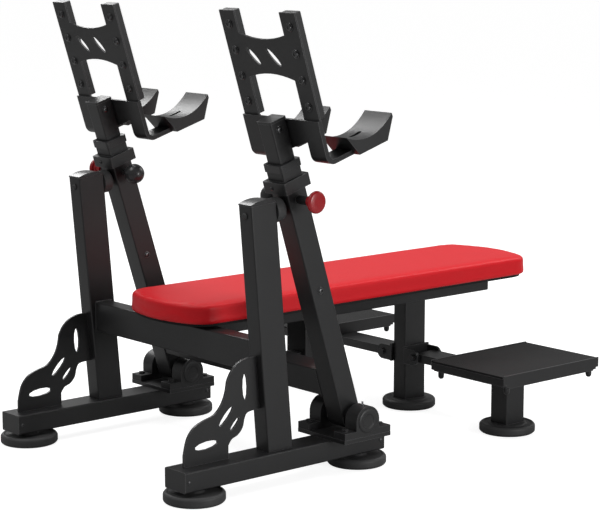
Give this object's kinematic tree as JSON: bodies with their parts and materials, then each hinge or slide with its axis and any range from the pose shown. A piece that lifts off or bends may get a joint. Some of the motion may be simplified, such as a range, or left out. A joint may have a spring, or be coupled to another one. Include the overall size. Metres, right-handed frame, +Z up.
{
  "type": "olympic bench press",
  "caption": "Flat olympic bench press with tilting, height-adjustable bar racks, slotted uprights, padded bench and fold-up foot steps.",
  "frame": {"origin": "on the floor under the centre post's foot disc", "axes": "+Z up, +Y towards the foot end of the bench, -Y towards the head end and the racks, +X the right side seen from the head end looking along the bench"},
  "size_m": [1.09, 1.506, 1.1775],
  "materials": {
    "powder_coated_steel": "satin fine-texture black powder coat",
    "cast_housing": "black coated cast bearing housing",
    "black_plastic": "moulded black plastic",
    "black_rubber": "moulded black rubber",
    "urethane": "dense black urethane",
    "zinc_steel": "dark zinc plated steel",
    "red_plastic": "glossy red moulded plastic",
    "red_vinyl": "smooth red vinyl upholstery",
    "board": "black painted plywood"
  },
  "bodies": {
    "bench_frame": {"front_crossbeam": "powder_coated_steel", "spine": "powder_coated_steel", "centre_post": "powder_coated_steel", "tilt_stop": "powder_coated_steel", "foot_centre": "black_rubber", "pad_board": "board", "bench_pad": "red_vinyl", "rail_left": "powder_coated_steel", "upright_left": "powder_coated_steel", "upright_cap_left": "black_plastic", "gusset_left": "powder_coated_steel", "arm_bumper_left": "black_rubber", "foot_head_left": "black_rubber", "foot_bench_left": "black_rubber", "pillow_block_left_outer": "cast_housing", "pillow_block_left_inner": "cast_housing", "step_bracket_left": "powder_coated_steel", "rail_right": "powder_coated_steel", "upright_right": "powder_coated_steel", "upright_cap_right": "black_plastic", "gusset_right": "powder_coated_steel", "arm_bumper_right": "black_rubber", "foot_head_right": "black_rubber", "foot_bench_right": "black_rubber", "pillow_block_right_outer": "cast_housing", "pillow_block_right_inner": "cast_housing", "step_bracket_right": "powder_coated_steel"},
    "tilt_frame": {"cross_tube": "powder_coated_steel", "arm_left": "powder_coated_steel", "pivot_shaft_left": "zinc_steel", "glide_bushing_left": "black_plastic", "arm_right": "powder_coated_steel", "pivot_shaft_right": "zinc_steel", "glide_bushing_right": "black_plastic"},
    "rack_left": {"rack_tube_left": "powder_coated_steel", "rack_bracket_left": "powder_coated_steel", "rack_plate_left": "powder_coated_steel", "liner_left_outer": "urethane", "liner_left_inner": "urethane", "saddle_left_outer": "urethane", "saddle_left_inner": "urethane"},
    "pull_pin_left": {"pull_pin_left": "red_plastic"},
    "clamp_knob_left": {"clamp_knob_left": "black_plastic"},
    "step_left": {"step_frame_left": "powder_coated_steel", "step_tray_left": "powder_coated_steel", "step_mat_left": "black_rubber", "step_foot_left": "black_rubber"},
    "rack_right": {"rack_tube_right": "powder_coated_steel", "rack_bracket_right": "powder_coated_steel", "rack_plate_right": "powder_coated_steel", "liner_right_outer": "urethane", "liner_right_inner": "urethane", "saddle_right_outer": "urethane", "saddle_right_inner": "urethane"},
    "pull_pin_right": {"pull_pin_right": "red_plastic"},
    "clamp_knob_right": {"clamp_knob_right": "black_plastic"},
    "step_right": {"step_frame_right": "powder_coated_steel", "step_tray_right": "powder_coated_steel", "step_mat_right": "black_rubber", "step_foot_right": "black_rubber"}
  },
  "joints": [
    {"name": "rack_tilt", "type": "hinge", "parent": "bench_frame", "child": "tilt_frame", "pos_m": [0, -0.581, 0.1355], "axis": [-1, 0, 0], "range_deg": [0, 20]},
    {"name": "rack_height_left", "type": "slide", "parent": "tilt_frame", "child": "rack_left", "axis": [0, -0.2974, 0.9548], "range_m": [0, 0.2]},
    {"name": "pull_pin_release_left", "type": "slide", "parent": "tilt_frame", "child": "pull_pin_left", "axis": [-1, 0, 0], "range_m": [0, 0.012]},
    {"name": "clamp_knob_turn_left", "type": "hinge", "parent": "tilt_frame", "child": "clamp_knob_left", "pos_m": [-0.29, -0.76061, 0.71218], "axis": [-1, 0, 0], "range_deg": [0, 360]},
    {"name": "step_fold_left", "type": "hinge", "parent": "bench_frame", "child": "step_left", "pos_m": [-0.063, 0, 0.1577], "axis": [0, 1, 0], "range_deg": [0, 50]},
    {"name": "rack_height_right", "type": "slide", "parent": "tilt_frame", "child": "rack_right", "axis": [0, -0.2974, 0.9548], "range_m": [0, 0.2]},
    {"name": "pull_pin_release_right", "type": "slide", "parent": "tilt_frame", "child": "pull_pin_right", "axis": [1, 0, 0], "range_m": [0, 0.012]},
    {"name": "clamp_knob_turn_right", "type": "hinge", "parent": "tilt_frame", "child": "clamp_knob_right", "pos_m": [0.29, -0.76061, 0.71218], "axis": [1, 0, 0], "range_deg": [0, 360]},
    {"name": "step_fold_right", "type": "hinge", "parent": "bench_frame", "child": "step_right", "pos_m": [0.063, 0, 0.1577], "axis": [0, -1, 0], "range_deg": [0, 50]}
  ]
}
